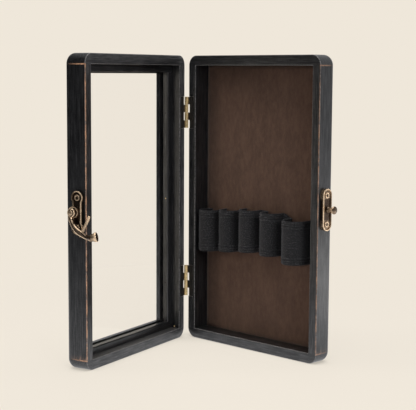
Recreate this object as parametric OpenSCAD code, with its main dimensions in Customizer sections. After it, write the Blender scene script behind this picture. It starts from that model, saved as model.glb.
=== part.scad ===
// Pen case: a shallow tray and a glazed lid, hinged along one long side, with a swing-hook latch.
// Every half is drawn in its own frame: X from the hinge side, Y inwards from the rim, Z up.

/* [Case] */
// Width of each half, from the hinge side to the latch side
case_w = 100; // [97:1:120]
// Height of each half, standing on its short end
case_h = 170; // [150:1:190]
// Depth of the frames, from the rim to the sheet glued on the back
frame_d = 11.2; // [10.6:0.1:14]
// Thickness of the tray's back panel
back_t = 2; // [1.6:0.1:3]
// Thickness of the lid's face frame
face_t = 2.8; // [2.4:0.1:3.6]
// Thickness of the long side pieces
stile_t = 5.4; // [5:0.1:5.8]
// Thickness of the top and bottom pieces, and radius of the corners
rail_t = 5.8; // [5.4:0.1:7]
// Radius along the outer edges of the back and of the face
edge_r = 4; // [2.8:0.1:5]
// Thickness of the lining on the back panel
lining_t = 0.6; // [0.4:0.1:1]
// How far the lid stands open, 0 shut, 180 flat and 198 with the backs about to meet
open_angle = 75.8; // [0:0.1:198]
// Gap between the two rims when the case is shut
rim_gap = 0.3; // [0.3:0.1:0.6]

/* [Glazing] */
// Width of wood that shows round the glass from outside
face_w = 10.6; // [10:0.1:14]
// Width of the beads that hold the glass
bead_w = 4.2; // [3:0.1:4.6]
// Depth of the beads, across their narrow side
bead_t = 3.4; // [2:0.1:4]
// Thickness of the glass
glass_t = 2.2; // [2:0.1:3]

/* [Elastic] */
// Width of the elastic webbing
band_h = 24.4; // [15:0.1:30]
// Thickness of the webbing
band_t = 1.1; // [0.8:0.1:1.4]

/* [Hinges] */
// Length of each hinge
hinge_len = 18.6; // [16:0.1:24]
// Height of the lower hinge's middle above the bottom
hinge_rise = 34.4; // [20:0.1:45]
// Distance of the upper hinge's middle below the top
hinge_drop = 33.7; // [20:0.1:45]
// Distance of the pin from the outside of the case
hinge_off = 1.9; // [1.9:0.1:2.6]
// Radius of the knuckles
knuckle_r = 1.1; // [1:0.1:1.2]
// Radius of the pin
pin_r = 0.5; // [0.4:0.05:0.6]

/* [Latch] */
// Height of the middle of the latch
latch_z = 86; // [70:1:100]
// Distance of the catch plate's screws from the tray's rim
catch_y = 5.4; // [5.2:0.1:5.6]
// Distance of the hook plate's screws from the lid's rim
hook_y = 4.5; // [4.4:0.1:5]
// Distance of the hook's pivot from the lid's rim
pivot_y = 6.9; // [6.8:0.1:7.2]
// Distance of the knob from the tray's rim
knob_y = 6.6; // [6.4:0.1:7]

/* [Hidden] */
$fn = 64;
eps = 0.01;

tray_d = frame_d + back_t;
lid_d = frame_d + face_t;
lining_y = frame_d - lining_t;
glass_y = frame_d - glass_t;
bead_y = glass_y - bead_t;
latch_side = case_w - stile_t;
hinge_z = [hinge_rise, case_h - hinge_drop];
wood = [0.07, 0.07, 0.08];
brass = [0.78, 0.66, 0.42];
bronze = [0.45, 0.36, 0.24];

// ---- frames of the two halves and of their latch sides ----

module in_tray() {
  translate([-case_w / 2, -tray_d / 2, 0]) children();
}

module in_lid() {
  translate([-case_w / 2 - hinge_off, -tray_d / 2 - rim_gap / 2, 0])
    rotate([0, 0, -open_angle])
      translate([hinge_off, -rim_gap / 2, 0])
        mirror([0, 1, 0]) children();
}

// X inwards from the rim, Y up from the latch's middle, Z out from the side of the case
module on_latch_side() {
  translate([case_w, 0, latch_z]) rotate([90, 0, 90]) children();
}

// ---- wood ----

// Section of one side of a half, X in from the outside and Y from the rim; its outer back corner is round
module side_section(t, d) {
  intersection() {
    square([t, d]);
    union() {
      square([t, d - edge_r]);
      translate([edge_r, 0]) square([t, d]);
      translate([edge_r, d - edge_r]) circle(edge_r);
    }
  }
}

// The part of that section between two distances from the rim
module slice_section(t, d, y0, y1) {
  intersection() {
    side_section(t, d);
    translate([0, y0]) square([t, y1 - y0]);
  }
}

// A quarter turn of a section round the bottom corner at the hinge side
module corner_turn() {
  translate([rail_t, 0, rail_t]) rotate([-90, 0, 0]) rotate([0, 0, 90])
    rotate_extrude(angle = 90) translate([rail_t, 0]) mirror([1, 0]) children();
}

// A run of a section along the bottom
module bottom_run(x0, x1) {
  translate([x1, 0, 0]) rotate([0, -90, 0]) linear_extrude(x1 - x0) children();
}

module both_sides() {
  children();
  translate([case_w, 0, 0]) mirror([1, 0, 0]) children();
}

module at_top() {
  translate([0, 0, case_h]) mirror([0, 0, 1]) children();
}

// Bottom rail of a half of depth d: full width, with its two corners turned
module rail(d) {
  bottom_run(rail_t, case_w - rail_t) slice_section(rail_t, d, 0, frame_d);
  both_sides() corner_turn() slice_section(rail_t, d, 0, frame_d);
}

// Side piece of a half of depth d, standing between the rails
module stile(d) {
  translate([0, 0, rail_t]) linear_extrude(case_h - 2 * rail_t)
    slice_section(stile_t, d, 0, frame_d);
}

// Sheet glued over the back of a frame of depth d, its edges rounded with the frame
module sheet(d) {
  t = d - frame_d;
  translate([rail_t, frame_d, rail_t]) cube([case_w - 2 * rail_t, t, case_h - 2 * rail_t]);
  bottom_run(rail_t, case_w - rail_t) slice_section(rail_t, d, frame_d, d);
  at_top() bottom_run(rail_t, case_w - rail_t) slice_section(rail_t, d, frame_d, d);
  both_sides() {
    translate([0, 0, rail_t]) linear_extrude(case_h - 2 * rail_t)
      slice_section(rail_t, d, frame_d, d);
    corner_turn() slice_section(rail_t, d, frame_d, d);
    at_top() corner_turn() slice_section(rail_t, d, frame_d, d);
  }
}

// Hinge leaf: thickness, distance below the rim, how far it reaches over the wall
leaf_t = 0.6;
leaf_y = 0.15;
leaf_w = 3.6;
mortise_gap = 0.1;

// Recesses for the hinge leaves, in the rim of a hinge stile
module mortises() {
  for (z = hinge_z)
    translate([-1, -1, z - hinge_len / 2 - mortise_gap])
      cube([1 + leaf_w + mortise_gap, 1 + leaf_y + leaf_t, hinge_len + 2 * mortise_gap]);
}

module tray_top_rail() {
  color(wood) in_tray() at_top() rail(tray_d);
}

module tray_bottom_rail() {
  color(wood) in_tray() rail(tray_d);
}

module tray_hinge_stile() {
  color(wood) in_tray() difference() {
    stile(tray_d);
    mortises();
  }
}

module tray_latch_stile() {
  color(wood) in_tray() translate([case_w, 0, 0]) mirror([1, 0, 0]) stile(tray_d);
}

module tray_back_panel() {
  color(wood) in_tray() sheet(tray_d);
}

module tray_lining() {
  color([0.24, 0.17, 0.14]) in_tray()
    translate([stile_t, lining_y, rail_t])
      cube([case_w - 2 * stile_t, lining_t, case_h - 2 * rail_t]);
}

module lid_top_rail() {
  color(wood) in_lid() at_top() rail(lid_d);
}

module lid_bottom_rail() {
  color(wood) in_lid() rail(lid_d);
}

module lid_hinge_stile() {
  color(wood) in_lid() difference() {
    stile(lid_d);
    mortises();
  }
}

module lid_latch_stile() {
  color(wood) in_lid() translate([case_w, 0, 0]) mirror([1, 0, 0]) stile(lid_d);
}

module lid_face_frame() {
  color(wood) in_lid() difference() {
    sheet(lid_d);
    translate([face_w, frame_d - 1, face_w])
      cube([case_w - 2 * face_w, face_t + 2, case_h - 2 * face_w]);
  }
}

// ---- glass and its beads ----

glass_gap = 0.2;
bead_r = 0.7;

module glass_pane() {
  color([0.8, 0.9, 0.9, 0.3]) in_lid()
    translate([stile_t + glass_gap, glass_y, rail_t + glass_gap])
      cube([case_w - 2 * (stile_t + glass_gap), glass_t, case_h - 2 * (rail_t + glass_gap)]);
}

// Section of a bead, X in from the wall and Y from the rim; the corner that shows is rounded
module bead_section() {
  square([bead_w - bead_r, bead_t]);
  translate([0, bead_r]) square([bead_w, bead_t - bead_r]);
  translate([bead_w - bead_r, bead_r]) circle(bead_r);
}

module end_bead() {
  bottom_run(stile_t, latch_side) translate([rail_t, bead_y]) bead_section();
}

module side_bead() {
  translate([stile_t, bead_y, rail_t + bead_w])
    linear_extrude(case_h - 2 * (rail_t + bead_w)) bead_section();
}

module glass_bead_bottom() {
  color(wood) in_lid() end_bead();
}

module glass_bead_top() {
  color(wood) in_lid() at_top() end_bead();
}

module glass_bead_hinge_side() {
  color(wood) in_lid() side_bead();
}

module glass_bead_latch_side() {
  color(wood) in_lid() translate([case_w, 0, 0]) mirror([1, 0, 0]) side_bead();
}

// Headless brads driven through the side beads into the walls, at these shares of the height
brad_r = 0.35;
brad_len = 7;
brad_proud = 0.1;
brad_heights = [0.2, 0.5, 0.8];

module bead_brads() {
  color(brass) in_lid() both_sides()
    for (share = brad_heights)
      translate([stile_t + bead_w + brad_proud - brad_len, bead_y + bead_t / 2, case_h * share])
        rotate([0, 90, 0]) cylinder(r = brad_r, h = brad_len);
}

// ---- elastic band ----

// Loops from the hinge side: distance in from the outside, radius, height of the middle
loops = [[12.2, 6.2, 66.2], [27.8, 5.8, 67.3], [44.2, 6, 68.8], [61, 6.3, 68.6], [80, 7.4, 66.1]];

// One loop's section: an arch over a pen of radius r - band_t that lies on the lining
module arch(r) {
  difference() {
    union() {
      circle(r);
      translate([-r, 0]) square([2 * r, r - band_t]);
    }
    circle(r - band_t);
    translate([band_t - r, 0]) square([2 * (r - band_t), r]);
  }
}

// A flat stretch of band on the lining, from x0 to x1, between the heights of its two neighbours
module flat(x0, x1, z) {
  translate([x0, lining_y - band_t, z - band_h / 2]) cube([x1 - x0, band_t, band_h]);
}

// Length of the band's flat ends, and the number of the last loop
foot = 3.4;
last = len(loops) - 1;

function loop_side(i, s) = loops[i][0] + s * loops[i][1];
function mid_z(i) = (loops[i][2] + loops[i + 1][2]) / 2;

module elastic_band() {
  color([0.1, 0.1, 0.11]) in_tray() {
    for (p = loops)
      translate([p[0], lining_y - p[1] + band_t, p[2] - band_h / 2])
        linear_extrude(band_h) arch(p[1]);
    for (i = [0:last - 1])
      flat(loop_side(i, 1) - band_t, loop_side(i + 1, -1) + band_t, mid_z(i));
    flat(loop_side(0, -1), loop_side(0, -1) + band_t + foot, loops[0][2]);
    flat(loop_side(last, 1) - band_t, loop_side(last, 1) + foot, loops[last][2]);
  }
}

// Round-headed tacks that hold the band between its loops and at its ends
tack_x = concat([loop_side(0, -1) + band_t + foot / 2],
  [for (i = [0:last - 1]) (loop_side(i, 1) + loop_side(i + 1, -1)) / 2],
  [loop_side(last, 1) + foot / 2]);
tack_z = concat([loops[0][2]], [for (i = [0:last - 1]) mid_z(i)], [loops[last][2]]);
tack_step = 7;
tack_len = 3.2;
tack_head_r = 1.1;
tack_head_t = 0.6;
tack_dome_r = 1.8;

module tack() {
  rotate([90, 0, 0]) {
    translate([0, 0, -tack_len]) cylinder(r = brad_r, h = tack_len + tack_head_t / 2);
    intersection() {
      cylinder(r = tack_head_r, h = tack_head_t);
      translate([0, 0, tack_head_t - tack_dome_r]) sphere(r = tack_dome_r);
    }
  }
}

module band_tacks() {
  color([0.2, 0.19, 0.18]) in_tray()
    for (i = [0:len(tack_x) - 1], s = [-1, 1])
      translate([tack_x[i], lining_y - band_t, tack_z[i] + s * tack_step]) tack();
}

// ---- hinges ----

knuckles = 4;
knuckle_step = hinge_len / knuckles;
knuckle_gap = 0.15;
pin_clearance = 0.05;
// Edge of a leaf's full length, out from the pin
leaf_edge = 2.4;
// Its brads: distance in from the outside and from the hinge's middle, countersunk head
brad_x = 2.1;
brad_step = 5;
head_r = 0.8;
head_t = 0.35;

// Leaf of one half with its two knuckles; the first is at the top where first is 1
module leaf(z, first, bore) {
  difference() {
    union() {
      translate([leaf_edge - hinge_off, leaf_y, z - hinge_len / 2])
        cube([leaf_w + hinge_off - leaf_edge, leaf_t, hinge_len]);
      for (i = [0, 2]) {
        low = z - hinge_len / 2 + (i + first) * knuckle_step + knuckle_gap / 2;
        translate([-hinge_off, -rim_gap / 2, low])
          cylinder(r = knuckle_r, h = knuckle_step - knuckle_gap);
        translate([-hinge_off, leaf_y, low])
          cube([hinge_off + 1, leaf_t, knuckle_step - knuckle_gap]);
      }
    }
    translate([-hinge_off, -rim_gap / 2, z - hinge_len]) cylinder(r = bore, h = 2 * hinge_len);
    for (s = [-1, 1])
      translate([brad_x, leaf_y, z + s * brad_step]) rotate([-90, 0, 0]) {
        translate([0, 0, -1]) cylinder(r = brad_r, h = 3);
        translate([0, 0, -eps]) cylinder(r1 = head_r + eps, r2 = brad_r, h = head_t + eps);
      }
  }
}

module pin(z) {
  translate([-hinge_off, -rim_gap / 2, z - hinge_len / 2]) cylinder(r = pin_r, h = hinge_len);
}

module hinge_brads() {
  for (z = hinge_z, s = [-1, 1])
    translate([brad_x, leaf_y, z + s * brad_step]) rotate([-90, 0, 0]) {
      cylinder(r = brad_r, h = brad_len);
      cylinder(r1 = head_r, r2 = brad_r, h = head_t);
    }
}

module upper_hinge_tray_leaf() {
  color(brass) in_tray() leaf(hinge_z[1], 1, pin_r);
}

module lower_hinge_tray_leaf() {
  color(brass) in_tray() leaf(hinge_z[0], 1, pin_r);
}

module upper_hinge_lid_leaf() {
  color(brass) in_lid() leaf(hinge_z[1], 0, pin_r + pin_clearance);
}

module lower_hinge_lid_leaf() {
  color(brass) in_lid() leaf(hinge_z[0], 0, pin_r + pin_clearance);
}

module upper_hinge_pin() {
  color(brass) in_tray() pin(hinge_z[1]);
}

module lower_hinge_pin() {
  color(brass) in_tray() pin(hinge_z[0]);
}

module tray_hinge_brads() {
  color(brass) in_tray() hinge_brads();
}

module lid_hinge_brads() {
  color(brass) in_lid() hinge_brads();
}

// ---- latch ----

// Plates: thickness, raised border, round ends and their distance from the middle, widths between
plate_t = 1.5;
border_t = 0.7;
border_w = 0.55;
lobe_r = 3.6;
lobe_step = 8;
catch_waist = 7.2;
hook_waist = 5.6;
// Screws: head, shank, length and cross recess
screw_head_r = 1.7;
screw_dome_r = 4;
screw_r = 0.8;
screw_len = 4.6;
recess_l = 1.6;
recess_w = 0.4;

// Outline of a latch plate, taken in by a margin: two round ends, a waist and a disc at the middle
module plate_outline(y, waist, mid_y, mid_r, margin) {
  for (s = [-1, 1]) translate([y, s * lobe_step]) circle(lobe_r - margin);
  translate([y - waist / 2 + margin, -lobe_step]) square([waist - 2 * margin, 2 * lobe_step]);
  translate([mid_y, 0]) circle(mid_r - margin);
}

module latch_plate(y, waist, mid_y, mid_r, seat, hole_r) {
  difference() {
    union() {
      difference() {
        linear_extrude(plate_t + border_t) plate_outline(y, waist, mid_y, mid_r, 0);
        translate([0, 0, plate_t])
          linear_extrude(border_t + 1) plate_outline(y, waist, mid_y, mid_r, border_w);
      }
      if (seat > plate_t)
        translate([mid_y, 0, 0]) cylinder(r = mid_r - border_w / 2, h = seat);
    }
    for (s = [-1, 1])
      translate([y, s * lobe_step, -1]) cylinder(r = screw_r, h = plate_t + 2);
    translate([mid_y, 0, -1]) cylinder(r = hole_r, h = seat + 2);
  }
}

// Low round-headed screws with a cross recess
module plate_screws(y) {
  for (s = [-1, 1]) translate([y, s * lobe_step, 0]) {
    translate([0, 0, plate_t - screw_len]) cylinder(r = screw_r, h = screw_len);
    difference() {
      translate([0, 0, plate_t]) intersection() {
        cylinder(r = screw_head_r, h = border_t);
        translate([0, 0, border_t - screw_dome_r]) sphere(r = screw_dome_r);
      }
      for (turn = [0, 90]) rotate([0, 0, turn])
        translate([-recess_l / 2, -recess_w / 2, plate_t + border_t - recess_w])
          cube([recess_l, recess_w, 1]);
    }
  }
}

// Discs of the plates round the hook's pivot and under the knob
pivot_r = 3.2;
knob_seat_r = 2.6;
// Height of the disc under the hook's eye
seat_top = 2.35;
// Hook: its rivet and eye, heights of the eye's two faces and of the arm's middle
rivet_r = 0.8;
rivet_head_r = 1.2;
rivet_head_t = 0.7;
rivet_dome_r = 1.5;
eye_r = 2.35;
eye_z = seat_top + 0.2;
eye_top = 4.4;
arm_z = 3.85;
// Knob: tail in the plate, foot, neck, head, and the heights where they change
tail_r = 0.9;
foot_r = 1.9;
neck_r = 1.4;
knob_r = 2.2;
foot_top = 3.2;
neck_top = 4.4;
flare_top = 5.4;
rim_top = 6.1;
knob_top = 6.7;
knob_dome = 4;

// The knob that the hook closes round: a riveted tail, a neck and a flared, domed head
module knob() {
  cylinder(r = tail_r, h = plate_t + eps);
  translate([0, 0, plate_t]) cylinder(r1 = foot_r, r2 = neck_r, h = foot_top - plate_t);
  translate([0, 0, plate_t]) cylinder(r = neck_r, h = neck_top + eps - plate_t);
  translate([0, 0, neck_top]) cylinder(r1 = neck_r, r2 = knob_r, h = flare_top - neck_top);
  translate([0, 0, flare_top]) cylinder(r = knob_r, h = rim_top - flare_top);
  translate([0, 0, rim_top]) intersection() {
    cylinder(r = knob_r, h = knob_top - rim_top);
    translate([0, 0, -knob_dome]) sphere(r = norm([knob_dome, knob_r]));
  }
}

// Arm of the hook as it hangs, from the pivot to the flared end: forwards, up, outwards, radius
arm = [[-0.3, -1.9, arm_z, 1.1], [-0.2, -4.4, arm_z, 1.1], [0.9, -6.5, arm_z, 1.25],
  [2.9, -8.6, arm_z, 1.35], [6.1, -10.65, arm_z, 1.3], [9.7, -11.9, arm_z, 1.2],
  [13, -12.45, 4, 1.15], [14.7, -12.35, 4.4, 1.45], [16.6, -11.85, 4.9, 2.45]];
spur = [[7, -10.2, 3.6, 0.8], [9.5, -5.4, 3.3, 0.7], [11.25, -1.6, 3.2, 0.65]];
tube_sides = 16;

// Corner k of the ring at point i of a tube; the rings stand upright across its path
function ring_corner(points, i, k) =
  let(a = points[max(i - 1, 0)], b = points[min(i + 1, len(points) - 1)], p = points[i],
    run = norm([b[0] - a[0], b[1] - a[1]]), turn = 360 * k / tube_sides)
  [p[0] - (b[1] - a[1]) / run * p[3] * cos(turn),
    p[1] + (b[0] - a[0]) / run * p[3] * cos(turn),
    p[2] + p[3] * sin(turn)];

// A closed tube through points that each have a radius
module tube(points) {
  last_ring = (len(points) - 1) * tube_sides;
  walls = [for (i = [0:len(points) - 2], k = [0:tube_sides - 1])
    let(a = i * tube_sides + k, b = i * tube_sides + (k + 1) % tube_sides)
    each [[a, b + tube_sides, b], [a, a + tube_sides, b + tube_sides]]];
  ends = [[for (k = [0:tube_sides - 1]) k], [for (k = [tube_sides - 1:-1:0]) last_ring + k]];
  polyhedron([for (i = [0:len(points) - 1], k = [0:tube_sides - 1]) ring_corner(points, i, k)],
    concat(walls, ends));
}

// The hook hanging from its pivot, drawn with X forwards over the rim
module hanging_hook() {
  difference() {
    union() {
      translate([0, 0, eye_z]) cylinder(r = eye_r, h = eye_top - eye_z);
      tube(arm);
      tube(spur);
    }
    translate([0, 0, -1]) cylinder(r = rivet_r + pin_clearance, h = 10);
    translate([0, 0, eye_top]) cylinder(r = rivet_head_r + 0.15, h = 10);
  }
}

module at_pivot() {
  on_latch_side() translate([pivot_y, 0, 0]) children();
}

module catch_plate() {
  color(bronze) in_tray() on_latch_side()
    latch_plate(catch_y, catch_waist, knob_y, knob_seat_r, plate_t, tail_r);
}

module catch_knob() {
  color(bronze) in_tray() on_latch_side() translate([knob_y, 0, 0]) knob();
}

module catch_screws() {
  color(bronze) in_tray() on_latch_side() plate_screws(catch_y);
}

module hook_plate() {
  color(bronze) in_lid() on_latch_side()
    latch_plate(hook_y, hook_waist, pivot_y, pivot_r, seat_top, rivet_r);
}

module hook_rivet() {
  color(bronze) in_lid() at_pivot() {
    cylinder(r = rivet_r, h = eye_top + rivet_head_t / 2);
    translate([0, 0, eye_top + 0.1]) intersection() {
      cylinder(r = rivet_head_r, h = rivet_head_t);
      translate([0, 0, rivet_head_t - rivet_dome_r]) sphere(r = rivet_dome_r);
    }
  }
}

module hook_screws() {
  color(bronze) in_lid() on_latch_side() plate_screws(hook_y);
}

module latch_hook() {
  color(bronze) in_lid() at_pivot() mirror([1, 0, 0]) hanging_hook();
}

tray_top_rail();
tray_bottom_rail();
tray_hinge_stile();
tray_latch_stile();
tray_back_panel();
tray_lining();
elastic_band();
band_tacks();
upper_hinge_tray_leaf();
lower_hinge_tray_leaf();
upper_hinge_pin();
lower_hinge_pin();
tray_hinge_brads();
catch_plate();
catch_knob();
catch_screws();
lid_top_rail();
lid_bottom_rail();
lid_hinge_stile();
lid_latch_stile();
lid_face_frame();
glass_pane();
glass_bead_top();
glass_bead_bottom();
glass_bead_hinge_side();
glass_bead_latch_side();
bead_brads();
upper_hinge_lid_leaf();
lower_hinge_lid_leaf();
lid_hinge_brads();
hook_plate();
hook_rivet();
hook_screws();
latch_hook();
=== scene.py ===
"""Finishes a glazed pen case: eased wood, suede, webbing, metalwork, glass and its studio."""
from functools import reduce
from math import cos, exp, hypot, pi, radians, sin

import bmesh
import bpy
from bpy.props import FloatProperty, FloatVectorProperty, PointerProperty
from mathutils import Matrix, Vector


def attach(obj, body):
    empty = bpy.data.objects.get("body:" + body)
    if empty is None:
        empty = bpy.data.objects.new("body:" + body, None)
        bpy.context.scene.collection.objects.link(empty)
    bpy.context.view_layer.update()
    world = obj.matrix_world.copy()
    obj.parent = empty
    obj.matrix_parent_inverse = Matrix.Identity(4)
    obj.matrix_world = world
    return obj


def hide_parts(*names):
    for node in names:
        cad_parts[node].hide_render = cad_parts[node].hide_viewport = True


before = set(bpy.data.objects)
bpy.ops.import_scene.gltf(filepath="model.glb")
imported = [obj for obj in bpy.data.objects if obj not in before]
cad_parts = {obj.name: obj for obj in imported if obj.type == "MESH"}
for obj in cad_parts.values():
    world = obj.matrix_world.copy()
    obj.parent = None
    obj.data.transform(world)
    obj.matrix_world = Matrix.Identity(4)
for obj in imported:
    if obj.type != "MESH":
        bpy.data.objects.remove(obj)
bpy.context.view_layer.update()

bl_info = {
    "name": "Pen Case Finisher",
    "version": (1, 0, 0),
    "blender": (4, 5, 0),
    "location": "View3D > Sidebar > Pen Case",
    "description": "Adds the fine shapes, finishes and studio to a glazed pen case",
    "category": "Object",
}

MM = 0.001
MM_PER_METRE = (1000, 1000, 1000)

# Sizes are in millimetres where nothing else is said.
# The case: width, height, side walls, end walls, depth of the lid, width of the frame round the window
CASE_W, CASE_H = 100.0, 170.0
STILE, RAIL = 5.4, 5.8
LID_D = 14.0
FACE_W = 10.6
# Place of the tray's hinge side at its rim, the hinge line's distance from that side and from the rim, and
# how far the lid stands open
TRAY_X, TRAY_Y = -50.0, -6.6
HINGE_OUT, HINGE_GAP = 1.9, 0.15
HINGE_X, HINGE_Y = TRAY_X - HINGE_OUT, TRAY_Y - HINGE_GAP
OPEN_ANGLE = radians(75.8)

# Cloth: the lining's front and thickness, the band's thickness, width and flat ends
LINING_Y, SUEDE_T = 10.6, 0.42
BAND_T, BAND_H, BAND_FOOT = 1.1, 24.4, 3.4
# Ribs along the band: heights from either edge, half width, and what the webbing is thinner between them
RIBS, RIB_W, RIB_ROOM = (0.9, 2.3, 3.7), 0.36, 0.35
# Length that one unit of the band's UV map stands for
BAND_UV = 100
# Pen loops: middle, outer radius, height of the middle
LOOPS = ((12.2, 6.2, 66.2), (27.8, 5.8, 67.3), (44.2, 6.0, 68.8), (61.0, 6.3, 68.6), (80.0, 7.4, 66.1))

# Latch: height, places in from the rim of the pivot, the knob and the two plates, plates' thickness and
# distance of their screws from the middle
LATCH_Z = 86.0
PIVOT_Y, KNOB_Y, CATCH_Y, HOOK_Y = 6.9, 6.6, 5.4, 4.5
PLATE_T, LOBE_STEP = 1.5, 8.0
# Heights off the wood between which a plate's border turns bright
BORDER_FADE = (1.5, 1.85)
# Eased edges of the metal
LEAF_EASE, PLATE_EASE = 0.3, 0.2

# Nail tips in the lid's hinge side: heights and depths, material, slot
NAIL_TIPS = {"wall_nail_tips": (((131.0, 5.2), (39.8, 5.2)), "tack_steel", "tack_steel"),
             "corner_nail_tip": (((6.7, 3.6),), "brad_brass", "hinge_brass")}

# Lathe profiles, as radius, height and wear
TIP_PROFILE = ((0, -0.6, 0), (0.45, -0.6, 0), (0.45, 0.1, 1), (0.32, 0.24, 1), (0, 0.3, 1))
SCREW_PROFILE = (
    (0, PLATE_T - 4.6, 0), (0.35, PLATE_T - 4.6, 0), (0.8, PLATE_T - 3.6, 0), (0.8, PLATE_T, 0),
    (1.7, PLATE_T, 0.2), (1.72, 1.75, 0.5), (1.6, 2.05, 0.9), (1.35, 2.2, 1), (1.1, 2.17, 1),
    (0.86, 2.0, 0.5), (0.66, 1.78, 0), (0.3, 1.7, 0), (0, 1.69, 0))
KNOB_NECK = tuple((1.42 + 0.24 * ((z - 3.8) / 1.4) ** 2, z, min(1, 0.1 + 0.42 * (z - 2.3)))
                  for z in (2.3, 2.7, 3.1, 3.5, 3.9, 4.3, 4.6))
KNOB_PROFILE = (
    (0, 0, 0), (0.9, 0, 0), (0.9, PLATE_T, 0), (1.85, PLATE_T, 0), (1.98, 1.6, 0.05), (1.95, 1.9, 0.12),
    (1.8, 2.2, 0.1), *KNOB_NECK, (1.62, 4.85, 0.9), (1.9, 5.12, 1), (2.14, 5.4, 1), (2.24, 5.7, 0.9),
    (2.2, 6.0, 0.5), (2.0, 6.25, 0.12), (1.75, 6.3, 0.05), (1.5, 6.3, 0.05), (1.1, 6.5, 0.1),
    (0.6, 6.62, 0.1), (0, 6.66, 0.1))
EYE_PROFILE = (
    (0.85, 2.55, 0), (2.25, 2.55, 0), (2.38, 2.7, 0.1), (2.38, 3.8, 0.25), (2.3, 4.15, 1), (2.08, 4.36, 1),
    (1.92, 4.36, 1), (1.8, 4.2, 0.3), (1.7, 4.05, 0), (1.28, 4.0, 0), (0.85, 4.0, 0), (0.85, 2.55, 0))
TRUMPET_PROFILE = (
    (0, 0, 0.3), (1.6, 0, 0.3), (1.85, 0.6, 0.35), (2.12, 1.3, 0.45), (2.4, 2.0, 0.7), (2.58, 2.6, 1),
    (2.62, 2.95, 1), (2.56, 3.2, 1), (2.4, 3.32, 0.8), (2.15, 3.3, 0.35), (1.9, 3.12, 0.1),
    (1.2, 2.95, 0.1), (0, 2.9, 0.1))
RIVET_PROFILE = (
    (0, 0, 0), (0.8, 0, 0), (0.8, 4.2, 0), (1.45, 4.2, 0), (1.5, 4.4, 0.2), (1.4, 4.66, 0.45),
    (1.1, 4.9, 0.5), (0.6, 5.04, 0.5), (0, 5.08, 0.5))

# Runs of the hook from its pivot, as forwards, up, outwards and radius, and the flared end's place and aim
HOOK_ARM = (
    (-0.3, -1.95, 3.6, 0.8), (-0.3, -2.5, 3.8, 1.15), (-0.25, -3.3, 3.9, 1.28), (0.25, -4.6, 3.9, 1.14),
    (1.4, -6.6, 3.9, 1.25), (3.5, -8.7, 4.0, 1.55), (6.2, -10.35, 4.1, 1.65), (9.1, -11.85, 4.0, 1.28),
    (11.4, -12.45, 4.2, 1.35), (13.1, -12.4, 4.75, 1.65), (14.5, -12.15, 5.2, 1.85))
HOOK_SPUR = (
    (6.9, -10.4, 3.8, 1.05), (8.05, -8.1, 3.7, 0.8), (9.4, -5.5, 3.5, 0.74), (10.7, -3.1, 3.3, 0.76),
    (11.15, -1.65, 3.25, 0.8), (11.3, -1.15, 3.25, 0.6), (11.35, -0.93, 3.25, 0.02))
TRUMPET_AT, TRUMPET_AIM = (13.95, -12.2, 5.4), (0.95, 0.22, -0.36)

# Points closer than this are one: in metres on a finished piece and on a node's mesh, and in millimetres
SAME_POINT, SAME_NODE_POINT, SAME_POINT_MM = 2e-6, 3e-6, 1e-4

# Frames of the two halves (across from the hinge side, in from the rim, up) and of their latch sides
TRAY = Matrix.Scale(MM, 4) @ Matrix.Translation((TRAY_X, TRAY_Y, 0))
LID = (Matrix.Scale(MM, 4) @ Matrix.Translation((HINGE_X, HINGE_Y, 0)) @ Matrix.Rotation(-OPEN_ANGLE, 4, "Z")
       @ Matrix.Translation((HINGE_OUT, -HINGE_GAP, 0)) @ Matrix.Diagonal((1, -1, 1, 1)))
LATCH_SIDE = (Matrix.Translation((CASE_W, 0, LATCH_Z)) @ Matrix.Rotation(pi / 2, 4, "Z")
              @ Matrix.Rotation(pi / 2, 4, "X"))
PIVOT = LID @ LATCH_SIDE @ Matrix.Translation((PIVOT_Y, 0, 0)) @ Matrix.Diagonal((-1, 1, 1, 1))
HALVES = {"tray": TRAY, "lid": LID}

# Wood of each piece of a half's frame and of each bead round the glass
FRAME_WOOD = {"top_rail": "rail", "bottom_rail": "rail", "hinge_stile": "stile", "latch_stile": "latch"}
BEAD_WOOD = {"top": "rail", "bottom": "rail", "hinge_side": "stile", "latch_side": "stile"}
# Wear of each half's wood: faint scratches and painted sheen along its rim, strength of its tan lines, and
# the distances from the latch side's arris at which that arris's tan line starts and is full
RIM_SCRATCH_AND_SHEEN = {"tray": 0.05, "lid": 0.14}
TAN = {"tray": 0.5, "lid": 0.9}
TAN_LINE = {"tray": (0.94, 0.7), "lid": (1.0, 0.74)}

# Lamps, in metres: place, aim, width and height, the setting of their power, tint
CASE_MIDDLE = (0.0, -0.03, 0.085)
WARM, COOL, WHITE = (1, 0.98, 0.95), (0.97, 0.98, 1), (1, 1, 1)
LAMPS = {"key_light": ((-1.15, -1.28, 0.42), CASE_MIDDLE, (0.25, 0.5), "key", WARM),
         "fill_light": ((1.28, -0.48, 0.7), CASE_MIDDLE, (0.6, 0.6), "fill", COOL),
         "low_card": ((0.16, 0.12, 0.006), (0.1, 0.06, 0.6), (0.16, 0.2), "card", WARM),
         "top_light": ((0.0, -0.1, 1.3), CASE_MIDDLE, (0.9, 0.9), "top", WHITE)}
# Lamps that glossy surfaces don't mirror
UNMIRRORED = ("key_light",)
# Camera: place in metres, focal length and width of the sensor, turn, downward tilt and roll in degrees
CAMERA_AT = (0.4383, -0.4907, 0.1601)
FOCAL_LENGTH, SENSOR_W = 99.2, 36
CAMERA_TURN, CAMERA_TILT, CAMERA_ROLL = 44.268, 6.597, 0.325
# Radius of the floor in metres
FLOOR_RADIUS = 6


# ---- settings ----

def colour(name, description, value):
    return FloatVectorProperty(name=name, description=description, subtype="COLOR", size=3, min=0, max=1,
                               default=value)


def share(name, description, value):
    return FloatProperty(name=name, description=description, subtype="FACTOR", min=0, max=1, default=value)


def length(name, description, value):
    return FloatProperty(name=name, description=description, subtype="DISTANCE", unit="LENGTH", min=0,
                         default=value)


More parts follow.
